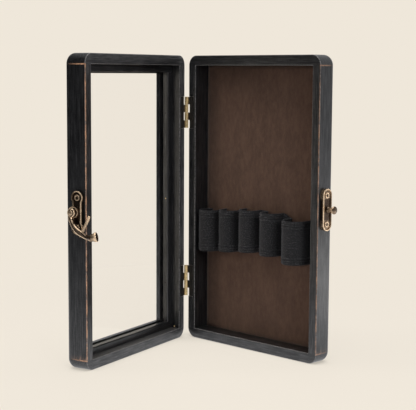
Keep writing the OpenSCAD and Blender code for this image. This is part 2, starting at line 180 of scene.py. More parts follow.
def power(name, description, value):
    return FloatProperty(name=name, description=description, subtype="POWER", min=0, default=value)


class PENCASE_PG_wood(bpy.types.PropertyGroup):
    stain: colour("Stain", "Colour of the black stain", (0.0042, 0.0042, 0.0048))
    grain: colour("Grain", "Colour where the stain is thin along the grain", (0.0165, 0.0165, 0.0172))
    worn: colour("Bare wood", "Colour of the wood where the stain is rubbed off", (0.66, 0.35, 0.19))
    # This colour also paints highlight lines on the edges, sheen on the rims and light on the lid's inner
    # rail faces.
    scuff_and_painted_light: colour("Scuffed edge", "Colour of lightly scuffed edges", (0.2, 0.19, 0.185))
    ease: length("Eased edge", "Width of the eased edges", 0.00032)
    gloss: share("Roughness", "Roughness of the satin finish", 0.34)


class PENCASE_PG_cloth(bpy.types.PropertyGroup):
    suede: colour("Suede", "Colour of the lining", (0.04, 0.0185, 0.0108))
    nap: colour("Raised nap", "Colour of the lining where the nap stands up", (0.078, 0.041, 0.026))
    webbing: colour("Webbing", "Colour of the elastic band", (0.0042, 0.004, 0.0044))
    thread: colour("Rib threads", "Colour of the band's raised threads", (0.05, 0.048, 0.05))
    rib: length("Rib height", "Height of the ribs along the band's edges", 0.0003)


class PENCASE_PG_metal(bpy.types.PropertyGroup):
    brass: colour("Brass", "Colour of the hinges' knuckles", (0.92, 0.68, 0.34))
    # Painted shade: on the hinge leaves this colour stands in for their dark mortises and the black wood they
    # mirror; on the bead's brads it is stain.
    stain_and_painted_shade: colour("Stained brass", "Colour of the hinge leaves in their mortises", (0.012, 0.01, 0.009))
    bronze: colour("Rubbed bronze", "Colour of the latch's rubbed edges", (0.95, 0.7, 0.46))
    patina: colour("Patina", "Colour of the latch's dark hollows", (0.075, 0.05, 0.036))
    steel: colour("Tack steel", "Colour of the band's tacks", (0.12, 0.115, 0.11))


class PENCASE_PG_studio(bpy.types.PropertyGroup):
    backdrop: colour("Backdrop", "Colour of the floor and the backdrop", (0.863, 0.799, 0.701))
    bounce: colour("Bounce", "Colour of the light that floor and backdrop send back", (0.84, 0.84, 0.86))
    key: power("Key light", "Power of the key light", 10)
    fill: power("Fill light", "Power of the fill light", 7)
    top: power("Top light", "Power of the top light", 12)
    card: power("Low card", "Power of the low card at the right", 0.16)
    shadow: share("Floor shadow", "How much of the floor's brightness its shadow can take", 0.14)


def settings(group):
    return getattr(bpy.context.scene, "pencase_" + group)


# ---- node helpers ----

class Graph:
    """Short calls that build the nodes of one material or world. Patterns are in millimetres."""

    def __init__(self, owner):
        owner.use_nodes = True
        self.owner = owner
        self.tree = owner.node_tree
        self.shader = self.tree.nodes.get("Principled BSDF") or self.tree.nodes["Background"]

    def add(self, kind, inputs=None, output=0, **options):
        node = self.tree.nodes.new("ShaderNode" + kind)
        for key, value in options.items():
            setattr(node, key, value)
        for key, value in (inputs or {}).items():
            self.put(node.inputs[key], value)
        return node.outputs[output]

    def put(self, socket, value):
        if isinstance(value, bpy.types.NodeSocket):
            self.tree.links.new(value, socket)
        elif socket.type == "RGBA":
            socket.default_value = (*value[:3], 1)
        else:
            socket.default_value = value

    def set(self, **values):
        """Fills the shader's sockets."""
        for key, value in values.items():
            self.put(self.shader.inputs[key.replace("_", " ")], value)

    def surface(self, shader):
        """Shows another shader on the surface."""
        self.put(self.tree.nodes["Material Output"].inputs["Surface"], shader)

    def rays(self):
        """The kinds of ray that see the surface, by name."""
        return self.tree.nodes.new("ShaderNodeLightPath").outputs

    def math(self, operation, a, b=0.0, c=0.0):
        return self.add("Math", {0: a, 1: b, 2: c}, operation=operation)

    def times(self, *values):
        return reduce(lambda a, b: self.math("MULTIPLY", a, b), values)

    def plus(self, a, b):
        return self.math("ADD", a, b)

    def minus(self, a, b):
        return self.math("SUBTRACT", a, b)

    def larger(self, a, b):
        return self.math("MAXIMUM", a, b)

    def off(self, value, middle):
        """How far a value is from a middle."""
        return self.math("ABSOLUTE", self.minus(value, middle))

    def hypotenuse(self, a, b):
        return self.math("SQRT", self.plus(self.times(a, a), self.times(b, b)))

    def ramp(self, value, low, high, to_low=0.0, to_high=1.0):
        """Smooth step of a value between two limits."""
        return self.add("MapRange", {"Value": value, "From Min": low, "From Max": high, "To Min": to_low,
                                     "To Max": to_high}, interpolation_type="SMOOTHSTEP")

    def mix(self, factor, a, b, kind="RGBA"):
        return self.add("Mix", {"Factor": factor, "A": a, "B": b}, "Result", data_type=kind)

    def scaled(self, vector, scale):
        return self.add("VectorMath", {0: vector, 1: scale}, operation="MULTIPLY")

    def distance(self, vector, middle):
        return self.add("VectorMath", {0: vector, 1: middle}, "Value", operation="DISTANCE")

    def noise(self, vector, scale, detail=3.0, roughness=0.55):
        return self.add("TexNoise", {"Vector": vector, "Scale": scale, "Detail": detail,
                                     "Roughness": roughness})

    def bump(self, height, strength, distance):
        self.set(Normal=self.add("Bump", {"Height": height, "Strength": strength, "Distance": distance}))

    def here(self):
        return self.add("TexCoord", output="Object")

    def half_space(self, half):
        """Millimetres across from the hinge side, in from the rim and up, on one half."""
        if half == "tray":
            return self.add("VectorMath", {0: self.here(), 1: MM_PER_METRE, 2: (-TRAY_X, -TRAY_Y, 0)},
                            operation="MULTIPLY_ADD")
        hinge = Matrix.Rotation(OPEN_ANGLE, 3, "Z") @ Vector((HINGE_X * MM, HINGE_Y * MM, 0))
        shut = self.add("Mapping", {"Vector": self.here(), "Rotation": (0, 0, OPEN_ANGLE),
                                    "Location": tuple(-hinge)})
        return self.add("VectorMath", {0: shut, 1: (1000, -1000, 1000), 2: (-HINGE_OUT, -HINGE_GAP, 0)},
                        operation="MULTIPLY_ADD")

    def split(self, vector):
        node = self.tree.nodes.new("ShaderNodeSeparateXYZ")
        self.put(node.inputs[0], vector)
        return tuple(node.outputs)

    def rubbed(self):
        """The wear that a piece's mesh carries, 1 on its rubbed edges."""
        return self.add("Attribute", output="Fac", attribute_name="rubbed")


def new_material(name):
    return Graph(bpy.data.materials.new(name))


# ---- mesh helpers ----

def place(bm, name, body, material, matrix=None, replaced=(), sharp=38.0):
    """Makes the finished piece from a bmesh and fixes it to its body."""
    if matrix is not None:
        bm.transform(matrix)
    bmesh.ops.remove_doubles(bm, verts=bm.verts, dist=SAME_POINT)
    bmesh.ops.recalc_face_normals(bm, faces=bm.faces)
    mesh = bpy.data.meshes.new(name)
    bm.to_mesh(mesh)
    bm.free()
    mesh.shade_smooth()
    mesh.set_sharp_from_angle(angle=radians(sharp))
    mesh.materials.append(material)
    piece = bpy.data.objects.new(name, mesh)
    bpy.context.scene.collection.objects.link(piece)
    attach(piece, body)
    if replaced:
        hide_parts(*replaced)
    return piece


def repaint(node, material):
    """Gives a node's object one material."""
    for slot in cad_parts[node].material_slots:
        slot.material = material


def merged(node):
    """A merged copy of a node's mesh with its flat faces whole."""
    bm = bmesh.new()
    bm.from_mesh(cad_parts[node].data)
    bmesh.ops.remove_doubles(bm, verts=bm.verts, dist=SAME_NODE_POINT)
    bmesh.ops.dissolve_limit(bm, angle_limit=radians(0.8), verts=bm.verts, edges=bm.edges)
    return bm


def ease(bm, matrix, width, chosen, segments=2, corner=28.0):
    """Bevels the chosen edges sharper than a corner's angle and marks the new faces as rubbed."""
    back = matrix.inverted()
    edges = [e for e in bm.edges if len(e.link_faces) == 2 and e.calc_face_angle() > radians(corner)
             and chosen(back @ e.verts[0].co, back @ e.verts[1].co)]
    layer = bm.faces.layers.float.new("rubbed")
    made = bmesh.ops.bevel(bm, geom=edges, offset=width, offset_type="OFFSET", segments=segments, profile=0.5,
                           affect="EDGES", clamp_overlap=True, material=-1)
    for face in made["faces"]:
        face[layer] = 1.0


def weigh_normals(piece):
    """Keeps flat faces flat next to narrow eased edges."""
    modifier = piece.modifiers.new("even_normals", "WEIGHTED_NORMAL")
    modifier.keep_sharp = True
    modifier.weight = 100


def thicken(piece, name, thickness, offset):
    """Gives a sheet its thickness in millimetres."""
    wall = piece.modifiers.new(name, "SOLIDIFY")
    wall.thickness = thickness * MM
    wall.offset = offset
    return wall


def turned(profile, matrix=None, steps=48):
    """A lathe-turned shape. The profile lists radius, height and wear from end to end of the axis."""
    bm = bmesh.new()
    layer = bm.verts.layers.float.new("rubbed")
    line = []
    for radius, height, worn in profile:
        vert = bm.verts.new((radius, 0, height))
        vert[layer] = worn
        line.append(vert)
    edges = [bm.edges.new(pair) for pair in zip(line, line[1:])]
    bmesh.ops.spin(bm, geom=line + edges, cent=(0, 0, 0), axis=(0, 0, 1), angle=2 * pi, steps=steps,
                   use_merge=True, use_normal_flip=False)
    bmesh.ops.remove_doubles(bm, verts=bm.verts, dist=SAME_POINT_MM)
    if matrix is not None:
        bm.transform(matrix)
    return bm


def join(*parts):
    """Puts several bmeshes into the first one."""
    whole = parts[0]
    for part in parts[1:]:
        mesh = bpy.data.meshes.new("part")
        part.to_mesh(mesh)
        part.free()
        whole.from_mesh(mesh)
        bpy.data.meshes.remove(mesh)
    return whole


def through(points, t):
    """A point on the smooth curve through the points, t counting from the first."""
    i = min(int(t), len(points) - 2)
    u = t - i
    a, b, c, d = (Vector(points[max(0, min(len(points) - 1, k))]) for k in (i - 1, i, i + 1, i + 2))
    return 0.5 * (2 * b + (c - a) * u + (2 * a - 5 * b + 4 * c - d) * u * u
                  + (3 * b - a - 3 * c + d) * u ** 3)


def drawn(points, section, around, rows):
    """A closed tube along points of (forwards, up, outwards, radius). section(share, angle) gives the
    share of the radius and the wear; angle 0 is the upper side of the run, a quarter turn is outwards."""
    last = len(points) - 1
    bm = bmesh.new()
    layer = bm.verts.layers.float.new("rubbed")
    bmesh.ops.create_grid(bm, x_segments=around, y_segments=rows, size=1)
    for vert in bm.verts:
        angle = pi * (vert.co.x + 1)
        along = (vert.co.y + 1) / 2
        t = along * last
        here = through(points, t)
        ahead = through(points, min(t + 0.02, last)) - through(points, max(t - 0.02, 0))
        run = Vector((ahead[0], ahead[1], 0)).normalized()
        side = Vector((-run.y, run.x, 0))
        out = Vector(ahead[:3]).cross(side).normalized()
        if out.z < 0:
            out = -out
        size, worn = section(along, angle)
        vert.co = Vector(here[:3]) + here[3] * size * (cos(angle) * side + sin(angle) * out)
        vert[layer] = worn
    bmesh.ops.remove_doubles(bm, verts=bm.verts, dist=SAME_POINT_MM)
    rims = [e for e in bm.edges if e.is_boundary]
    if rims:
        bmesh.ops.holes_fill(bm, edges=rims, sides=0)
    return bm


# ---- finishes ----

class WoodGraph(Graph):
    """Nodes of one half's stained wood, upright or level: its grain, the masks of its wear and the masks of
    its painted light.
    """

    def __init__(self, name, half, level):
        super().__init__(bpy.data.materials.new(name))
        self.half, self.level = half, level
        self.at = self.half_space(half)
        self.across, self.deep, self.up = self.split(self.at)
        self.scratch = self.noise(self.along_grain(1, 1, 0.07), 1.3, 5.0, 0.7)
        self.broken = self.noise(self.at, 0.9, 4.0, 0.7)
        grain = self.noise(self.along_grain(1, 1, 0.03), 1.5, 6.0, 0.62)
        brushed = self.noise(self.along_grain(0.12, 0.5, 1), 1.4)
        self.lines = self.plus(self.times(grain, 0.75), self.times(brushed, 0.25))

    def along_grain(self, across, deep, up):
        """Scales a pattern as on an upright piece; on a level one it lies along that piece."""
        return self.scaled(self.at, (up, deep, across) if self.level else (across, deep, up))

    def stain(self, thick, thin):
        """Stain that is thinner along the grain and in cloudy places."""
        cloudy = self.ramp(self.noise(self.at, 0.055), 0.35, 0.7, -0.25, 0.3)
        tone = self.plus(self.ramp(self.lines, 0.45, 0.62), cloudy)
        return self.mix(self.times(tone, 0.8), thick, thin)

    def scuffs_and_painted_highlights(self):
        """Scuffed edges that also serve as painted highlight lines, more so on level pieces, and faint
        scratches with a painted sheen along the rim; the lid's rim is painted brighter near its hinge side as
        a painted reflection.
        """
        least = 0.3 if self.level else 0.08
        # Painted highlight lines on the eased edges, partly real scuffing; level pieces get more of it.
        edges = self.times(self.rubbed(), self.ramp(self.broken, 0.4, 0.62, least, 0.8))
        # Faint scratches and painted sheen on the rim face.
        rim = self.ramp(self.math("ABSOLUTE", self.deep), 0.8, 0.1, 0.0, RIM_SCRATCH_AND_SHEEN[self.half])
        # Painted reflection: up to 2.6 times more sheen on the lid's rim near its hinge side.
        if self.half == "lid":
            rim = self.times(rim, self.ramp(self.across, 8.0, 4.5, 1.0, 2.6))
        return self.larger(edges, self.times(rim, self.ramp(self.scratch, 0.42, 0.62)))

    def painted_sill_light(self):
        """Painted light on the inner faces of the lid's rails, towards the rim, with a painted highlight
        where they meet the rim face.
        """
        inner = self.ramp(self.off(self.up, RAIL), 0.5, 0.25)
        near_rim = self.ramp(self.deep, 9.5, 3.5, 0.0, 0.26)
        return self.times(inner, near_rim, self.ramp(self.lines, 0.4, 0.6, 0.6, 1.0),
                          self.math("LESS_THAN", self.across, CASE_W - STILE))

    def joint_lines(self):
        """Tan lines on the latch side along the joints of rails and stiles, smeared above the low ones."""
        outer = self.math("GREATER_THAN", self.across, CASE_W - 0.6)
        fading = self.ramp(self.deep, 12.5, 1.5, 0.0, 0.9)
        patchy = self.ramp(self.noise(self.at, 0.45, 4.0, 0.7), 0.36, 0.56, 0.25, 1.0)
        uneven = self.math("MULTIPLY_ADD", self.broken, 0.8, self.up)
        low = self.ramp(self.off(uneven, RAIL + 0.4), 0.5, 0.15)
        high = self.ramp(self.off(uneven, CASE_H - RAIL + 0.4), 0.5, 0.15)
        above = self.minus(uneven, RAIL + 0.4)
        smear = self.times(self.ramp(above, 3.4, 0.2, 0.0, 0.6), self.ramp(above, -0.2, 0.2))
        low = self.larger(low, self.times(smear, self.ramp(self.scratch, 0.42, 0.6)))
        return self.times(outer, fading, patchy, self.larger(low, high))

    def arris_line(self):
        """The tan line along the latch side's arris."""
        far = self.hypotenuse(self.minus(CASE_W - 0.35, self.across), self.deep)
        line = self.ramp(self.plus(far, self.times(self.broken, 0.9)), *TAN_LINE[self.half])
        patchy = self.ramp(self.noise(self.at, 0.16, 4.0, 0.65), 0.36, 0.62, 0.12, 0.95)
        if self.half == "tray":
            patchy = self.times(patchy, self.ramp(self.up, 162.0, 140.0, 0.35, 1.0))
        return self.times(line, patchy)


def stained_wood(name, half, level=False, rubbed_arris=False):
    """Black-stained wood with its grain along the piece, scuffed edges and rubbed joint lines, with painted
    highlights on the edges, painted sheen on the rims and painted light on the lid's inner rail faces.
    """
    s = settings("wood")
    g = WoodGraph(name, half, level)
    base = g.mix(g.ramp(g.scratch, 0.56, 0.7, 0.0, 0.1), g.stain(s.stain, s.grain), s.scuff_and_painted_light)
    # Scuffed edges with painted highlights, and rim scratches with painted sheen.
    base = g.mix(g.scuffs_and_painted_highlights(), base, s.scuff_and_painted_light)
    # Painted light on the lid's inner rail faces.
    if half == "lid" and level:
        base = g.mix(g.painted_sill_light(), base, s.scuff_and_painted_light)
    wear = g.joint_lines()
    if rubbed_arris:
        wear = g.larger(wear, g.arris_line())
    bare = g.ramp(g.broken, 0.3, 0.5, 0.55 * TAN[half], TAN[half])
    base = g.mix(g.times(wear, bare), base, s.worn)
    satin = g.plus(g.times(g.lines, 0.4), g.times(g.scratch, 0.6))
    g.set(Base_Color=base, Roughness=g.plus(g.times(g.lines, 0.36), s.gloss - 0.16),
          Specular_IOR_Level=g.ramp(satin, 0.38, 0.62, 0.5, 1.0))
    g.bump(g.plus(g.times(g.lines, 0.6), g.times(g.scratch, 0.4)), 0.5, 0.00011)
    return g.owner


def suede():
    """Brushed brown suede with upright streaks and a fine nap."""
    s = settings("cloth")
    g = new_material("suede")
    at = g.half_space("tray")
    streaks = g.noise(g.scaled(at, (1, 1, 0.4)), 0.6, 6.0, 0.68)
    brushed = g.noise(g.scaled(at, (1, 1, 0.5)), 0.09)
    nap = g.noise(at, 5.5, 3.0, 0.7)
    tone = g.plus(g.times(streaks, 0.5), g.plus(g.times(brushed, 0.3), g.times(nap, 0.35)))
    g.set(Base_Color=g.mix(g.ramp(tone, 0.42, 0.78), s.suede, s.nap), Roughness=0.95, Sheen_Weight=0.25,
          Sheen_Roughness=0.6, Sheen_Tint=(0.75, 0.6, 0.5), Specular_IOR_Level=0.2)
    g.bump(nap, 0.5, 0.00015)
    return g.owner


def webbing():
    """Knitted elastic: fine cords along the band, picks across them and raised ribs near both edges."""
    s = settings("cloth")
    g = new_material("webbing")
    at = g.scaled(g.add("UVMap", uv_map="band"), (BAND_UV, BAND_UV, 0))
    along, up, _ = g.split(at)
    cords = g.math("SINE", g.times(up, 2 * pi / 0.92))
    picks = g.math("SINE", g.plus(g.times(along, 2 * pi / 0.6), g.times(cords, 0.9)))
    weave = g.math("MULTIPLY_ADD", picks, 0.3, g.math("MULTIPLY_ADD", cords, 0.12, 0.5))
    fuzz = g.noise(at, 1.5, 4.0, 0.78)
    edge = g.math("MINIMUM", up, g.minus(BAND_H, up))
    ribs = g.math("COSINE", g.times(g.minus(edge, RIBS[0]), 2 * pi / (RIBS[1] - RIBS[0])))
    ribs = g.times(ribs, g.ramp(edge, 5.1, 4.3, 0.0, 0.1))
    flecks = g.math("MULTIPLY_ADD", g.ramp(fuzz, 0.5, 0.64), 0.45, ribs)
    tone = g.plus(g.times(weave, 0.5), g.math("MULTIPLY_ADD", fuzz, 0.5, flecks))
    g.set(Base_Color=g.mix(g.ramp(tone, 0.42, 1.1), s.webbing, s.thread), Roughness=0.82, Sheen_Weight=0.12,
          Sheen_Roughness=0.45, Sheen_Tint=(0.7, 0.7, 0.75), Specular_IOR_Level=0.3)
    g.bump(weave, 0.7, 0.00012)
    return g.owner


def dimmed(tint, amount):
    return tuple(channel * amount for channel in tint)


def hinge_brass():
    """Bright knuckles round the hinge line, with painted shade: the leaves further out and the eased edges
    are painted near black for the shade in their mortises and between the knuckles.
    """
    s = settings("metal")
    g = new_material("hinge_brass")
    at = g.scaled(g.here(), MM_PER_METRE)
    x, y, _ = g.split(at)
    leaf = g.ramp(g.hypotenuse(g.minus(x, HINGE_X), g.minus(y, HINGE_Y)), 1.12, 1.3)
    streak = g.noise(g.scaled(at, (1, 1, 0.15)), 1.6, 4.0)
    bright = g.mix(g.ramp(streak, 0.35, 0.7), s.brass, dimmed(s.brass, 0.72))
    # Painted shade on the leaves and on the eased edges between the knuckles.
    dark = g.larger(leaf, g.times(g.rubbed(), 0.85))
    g.set(Base_Color=g.mix(dark, bright, s.stain_and_painted_shade), Metallic=g.math("MULTIPLY_ADD", leaf, -0.5, 0.6),
          Roughness=g.plus(g.times(streak, 0.18), g.math("MULTIPLY_ADD", leaf, 0.3, 0.2)))
    g.bump(g.noise(at, 3.0, 4.0), 0.15, 0.00004)
    return g.owner


def small_brass(name, only_middle=False):
    """Brass of the brads and nail tips, a little tarnished, or stained over except at mid height."""
    s = settings("metal")
    g = new_material(name)
    at = g.half_space("lid")
    spots = g.noise(at, 2.0)
    bright = g.mix(g.ramp(spots, 0.35, 0.7), s.brass, dimmed(s.brass, 0.5))
    if only_middle:
        up = g.split(at)[2]
        bright = g.mix(g.math("COMPARE", up, CASE_H / 2, 8.0), s.stain_and_painted_shade, bright)
    g.set(Base_Color=bright, Metallic=0.7, Roughness=0.36)
    g.bump(spots, 0.2, 0.00004)
    return g.owner


def tack_steel():
    """Dull steel of the tacks, with darker spots."""
    s = settings("metal")
    g = new_material("tack_steel")
    spots = g.noise(g.scaled(g.here(), MM_PER_METRE), 1.5)
    g.set(Base_Color=g.mix(spots, s.steel, dimmed(s.steel, 0.5)), Metallic=1.0,
          Roughness=g.math("MULTIPLY_ADD", spots, 0.2, 0.35))
    g.bump(spots, 0.2, 0.00005)
    return g.owner


def plate_wear(g, at, half, fine):
    """Wear of a latch plate: its border is bright, and dimmer away from the rim. The catch has bright flecks
    at its ends that are painted glints; the hook plate's disc keeps a dark top."""
    across, deep, up = g.split(at)
    from_middle = g.off(up, LATCH_Z)
    worn = g.larger(g.times(g.rubbed(), 0.55), g.ramp(g.minus(across, CASE_W), *BORDER_FADE))
    if half == "tray":
        # Painted glints: bright flecks on the catch's flanks towards its ends.
        flecks = g.times(g.ramp(from_middle, 5.0, 7.0), g.ramp(fine, 0.48, 0.6, 0.0, 0.8))
        return g.larger(g.times(worn, g.ramp(deep, 9.0, 6.6, 0.3, 1.0)), flecks)
    worn = g.times(worn, g.larger(g.ramp(deep, 7.4, 5.2, 0.3, 1.0), g.ramp(from_middle, 4.0, 3.0)))
    from_pivot = g.distance(g.add("CombineXYZ", {0: deep, 1: up}), (PIVOT_Y, LATCH_Z, 0))
    return g.times(worn, g.ramp(from_pivot, 2.55, 2.8, 0.12, 1.0))


def antique_bronze(name, half, plate=False, shine=1.0):
    """Dark cast bronze, bright where it is rubbed and, on the catch plate, at painted glints."""
    s = settings("metal")
    g = new_material(name)
    at = g.half_space(half)
    blotch = g.noise(at, 0.8, 4.0, 0.65)
    fine = g.noise(at, 3.2, 4.0, 0.7)
    worn = plate_wear(g, at, half, fine) if plate else g.rubbed()
    worn = g.larger(worn, g.ramp(fine, 0.56, 0.72, 0.0, 0.4))
    worn = g.times(worn, g.ramp(blotch, 0.26, 0.5, 0.7, 1.0), g.ramp(fine, 0.25, 0.5, 0.85, 1.0), shine)
    low = g.mix(g.ramp(fine, 0.35, 0.7), s.patina, dimmed(s.patina, 0.4))
    g.set(Base_Color=g.mix(worn, low, s.bronze), Metallic=g.math("MULTIPLY_ADD", worn, -0.45, 1.0),
          Roughness=g.plus(g.times(fine, 0.16), g.math("MULTIPLY_ADD", worn, -0.1, 0.24)))
    g.bump(g.plus(g.times(blotch, 0.6), g.times(fine, 0.4)), 0.25, 0.00008)
    return g.owner


def clear_glass():
    """Thin clear glass that casts no shadow."""
    g = new_material("clear_glass")
    g.set(Base_Color=(1, 1, 1), Roughness=0.0, IOR=1.12, Transmission_Weight=1.0, Specular_IOR_Level=0.4)
    open_air = g.add("BsdfTransparent", {"Color": (1, 1, 1)})
    g.surface(g.add("MixShader", {0: g.rays()["Is Shadow Ray"], 1: g.shader.outputs[0], 2: open_air}))
    return g.owner


# ---- wood ----

def is_arris(a, b):
    """True for rim edges that show, leaving out the joint lines between rails and stiles."""
    if abs(a.y) > 0.02 or abs(b.y) > 0.02:
        return False
    for joint in (RAIL, CASE_H - RAIL):
        if abs(a.z - joint) < 0.03 and abs(b.z - joint) < 0.03:
            return STILE - 0.05 < min(a.x, b.x) and max(a.x, b.x) < CASE_W - STILE + 0.05
    return True


def is_window_edge(a, b):
    """True for the edges of the window on the lid's face."""
    inside = all(FACE_W - 0.05 < p.x < CASE_W - FACE_W + 0.05 and FACE_W - 0.05 < p.z < CASE_H - FACE_W + 0.05
                 for p in (a, b))
    return inside and abs(a.y - b.y) <= 1 and abs(a.y - LID_D) < 0.05


def cut_at_stiles(bm, matrix):
    """Cuts a rail's faces in line with the stiles' inner sides, where its eased edges end."""
    normal = (matrix.to_3x3() @ Vector((1, 0, 0))).normalized()
    for across in (STILE, CASE_W - STILE):
        bmesh.ops.bisect_plane(bm, geom=[*bm.verts, *bm.edges, *bm.faces], dist=1e-6,
                               plane_co=matrix @ Vector((across, 0, 0)), plane_no=normal)


class PENCASE_OT_wood(bpy.types.Operator):
    """Eases the arrises of both halves' wood and stains them"""
    bl_idname = "pencase.wood"
    bl_label = "Wood of Both Halves"

    def execute(self, context):
        width = settings("wood").ease
        for half, matrix in HALVES.items():
            woods = {"stile": stained_wood(f"{half}_stile_wood", half),
                     "latch": stained_wood(f"{half}_latch_wood", half, rubbed_arris=True),
                     "rail": stained_wood(f"{half}_rail_wood", half, level=True)}
            for part, wood in FRAME_WOOD.items():
                node = f"{half}_{part}"
                bm = merged(node)
                if wood == "rail":
                    cut_at_stiles(bm, matrix)
                ease(bm, matrix, width, is_arris)
                weigh_normals(place(bm, node + "_eased", half, woods[wood], replaced=(node,)))
        face = merged("lid_face_frame")
        ease(face, LID, width, is_window_edge)
        weigh_normals(place(face, "lid_face_eased", "lid", stained_wood("lid_face_wood", "lid"),
                            replaced=("lid_face_frame",)))
        repaint("tray_back_panel", stained_wood("tray_back_wood", "tray"))
        for bead, wood in BEAD_WOOD.items():
            repaint("glass_bead_" + bead, bpy.data.materials[f"lid_{wood}_wood"])
        return {"FINISHED"}


# ---- cloth ----

class PENCASE_OT_lining(bpy.types.Operator):
    """Lays the suede lining on the tray's back panel"""
    bl_idname = "pencase.lining"
    bl_label = "Suede Lining"

    def execute(self, context):
        width, height = CASE_W - 2 * STILE, CASE_H - 2 * RAIL
        bm = bmesh.new()
        bmesh.ops.create_grid(bm, x_segments=44, y_segments=78, size=0.5)
        for vert in bm.verts:
            u, v = vert.co.x * width, vert.co.y * height
            rim = min(width / 2 - abs(u), height / 2 - abs(v))
            # A soft swell of at most 0.05 mm, and edges that are tucked back by 0.18 mm
            swell = 0.03 * sin(u * 0.21 + 1.3 * sin(v * 0.06)) + 0.02 * sin(v * 0.13 + u * 0.05)
            tuck = 0.18 * exp(-(rim / 0.9) ** 2)
            vert.co = Vector((CASE_W / 2 + u, LINING_Y + 0.06 + swell + tuck, CASE_H / 2 + v))
        piece = place(bm, "suede_lining", "tray", suede(), TRAY, replaced=("tray_lining",))
        if piece.data.polygons[0].normal.y > 0:
            piece.data.flip_normals()
        thicken(piece, "cloth_thickness", SUEDE_T, -1)
        return {"FINISHED"}


def band_route(step=0.55, fillet=1.0):
    """Points along the middle of the band's thickness, as across and in from the rim."""
    floor = LINING_Y - BAND_T / 2
    flat = []

    def arc(cx, cy, radius, start, stop):
        count = max(4, int(abs(stop - start) * radius / step) + 1)
        for k in range(count + 1):
            a = start + (stop - start) * k / count
            flat.append((cx + radius * cos(a), cy - radius * sin(a)))

    def line(x0, y0, x1, y1):
        count = max(2, int(hypot(x1 - x0, y1 - y0) / step) + 1)
        for k in range(count + 1):
            flat.append((x0 + (x1 - x0) * k / count, y0 + (y1 - y0) * k / count))

    for i, (middle, outer, _) in enumerate(LOOPS):
        radius = outer - BAND_T / 2
        spring = LINING_Y - outer + BAND_T
        left, right = middle - radius, middle + radius
        if i == 0:
            line(left + BAND_T / 2 + BAND_FOOT, floor, left + fillet, floor)
            arc(left + fillet, floor - fillet, fillet, 1.5 * pi, pi)
        else:
            arc(left - fillet, floor - fillet, fillet, -0.5 * pi, 0)
        line(left, floor - fillet, left, spring)
        arc(middle, spring, radius, pi, 0)
        line(right, spring, right, floor - fillet)
        arc(right + fillet, floor - fillet, fillet, pi, 1.5 * pi)
        if i + 1 < len(LOOPS):
            end = LOOPS[i + 1][0] - LOOPS[i + 1][1] + BAND_T / 2 - fillet
        else:
            end = right + BAND_T / 2 + BAND_FOOT
        line(right + fillet, floor, end, floor)
    route = [flat[0]]
    for point in flat[1:]:
        if hypot(point[0] - route[-1][0], point[1] - route[-1][1]) > 0.05:
            route.append(point)
    return route


def band_height(x):
    """Height of the band's middle at a place across the tray."""
    for (a, ra, za), (b, rb, zb) in zip(LOOPS, LOOPS[1:]):
        if x < b - rb:
            t = max(0.0, min(1.0, (x - a - ra + 1) / (b - rb - a - ra + 2)))
            return za + (zb - za) * t * t * (3 - 2 * t)
    return LOOPS[-1][2]


class PENCASE_OT_band(bpy.types.Operator):
    """Leads the ribbed elastic band over the lining in five pen loops"""
    bl_idname = "pencase.band"
    bl_label = "Elastic Band"

    def execute(self, context):
        rib = settings("cloth").rib / MM
        route = band_route()
        lengths = [0.0]
        for a, b in zip(route, route[1:]):
            lengths.append(lengths[-1] + hypot(b[0] - a[0], b[1] - a[1]))
        columns = len(route) - 1
        bm = bmesh.new()
        bmesh.ops.create_grid(bm, x_segments=columns, y_segments=96, size=1)
        uv = bm.loops.layers.uv.new("band")
        for face in bm.faces:
            for corner in face.loops:
                i = round((corner.vert.co.x + 1) / 2 * columns)
                corner[uv].uv = (lengths[i] / BAND_UV, (corner.vert.co.y + 1) / 2 * BAND_H / BAND_UV)
        for vert in bm.verts:
            i = round((vert.co.x + 1) / 2 * columns)
            up = (vert.co.y + 1) / 2 * BAND_H
            ahead = Vector(route[min(i + 1, columns)]) - Vector(route[max(i - 1, 0)])
            out = Vector((ahead.y, -ahead.x)).normalized()
            edge = min(up, BAND_H - up)
            height = rib * sum(exp(-((edge - at) / RIB_W) ** 2) for at in RIBS)
            height -= 0.12 * exp(-(edge / 0.25) ** 2)
            x, y = Vector(route[i]) + out * height
            bow = 0.25 * sin(pi * up / BAND_H) if y < LINING_Y - 2.5 else 0
            vert.co = Vector((x, y - bow, band_height(x) - BAND_H / 2 + up))
        piece = place(bm, "elastic_webbing", "tray", webbing(), TRAY, replaced=("elastic_band",),
                      sharp=60)
        wall = thicken(piece, "band_thickness", BAND_T - RIB_ROOM, 0)
        wall.use_even_offset = True
        return {"FINISHED"}


# ---- metal and glass ----

class PENCASE_OT_hinges(bpy.types.Operator):
    """Eases the hinge leaves and gives hinges, brads and tacks their metal"""
    bl_idname = "pencase.hinges"
    bl_label = "Hinges, Brads and Tacks"

    def execute(self, context):
        brass, brads = hinge_brass(), small_brass("brad_brass")
        for level in ("upper", "lower"):
            for half, matrix in HALVES.items():
                node = f"{level}_hinge_{half}_leaf"
                bm = merged(node)
                ease(bm, matrix, LEAF_EASE * MM, lambda a, b: True, corner=40)
                weigh_normals(place(bm, node + "_eased", half, brass, replaced=(node,)))
            repaint(f"{level}_hinge_pin", brads)
        for half in HALVES:
            repaint(half + "_hinge_brads", brass)
        repaint("bead_brads", small_brass("bead_brad_brass", only_middle=True))
        repaint("band_tacks", tack_steel())
        return {"FINISHED"}


